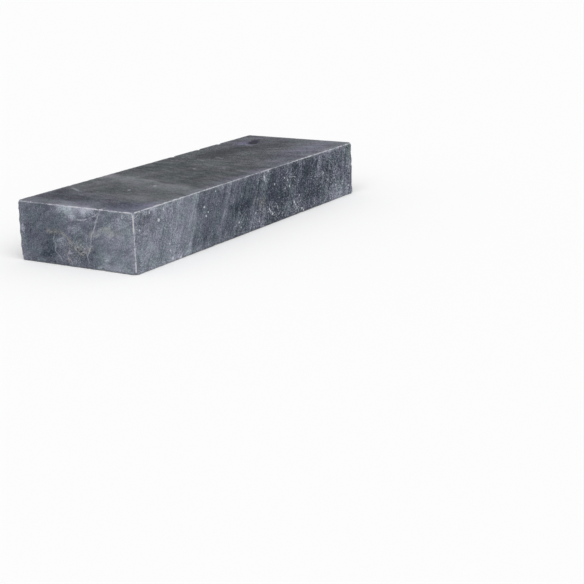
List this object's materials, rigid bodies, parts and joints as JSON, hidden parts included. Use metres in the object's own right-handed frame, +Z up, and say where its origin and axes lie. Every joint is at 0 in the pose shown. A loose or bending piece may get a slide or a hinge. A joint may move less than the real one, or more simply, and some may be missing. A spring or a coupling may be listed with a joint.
{
  "type": "limestone step block",
  "caption": "Sawn blue-grey limestone block step: one long rectangular stone with a honed tread, brushed riser and ends, narrow dressed arrises and small edge chips.",
  "frame": {"origin": "middle of the flat bed face that the stone rests on", "axes": "+X along the length of the step, +Y from the riser towards the back, +Z up to the tread"},
  "size_m": [1, 0.35, 0.147],
  "materials": {
    "limestone": "dark blue-grey limestone, honed on the tread and brushed on the sides, with pale bruised arrises"
  },
  "bodies": {
    "root": {"step_block": "limestone"}
  },
  "joints": []
}
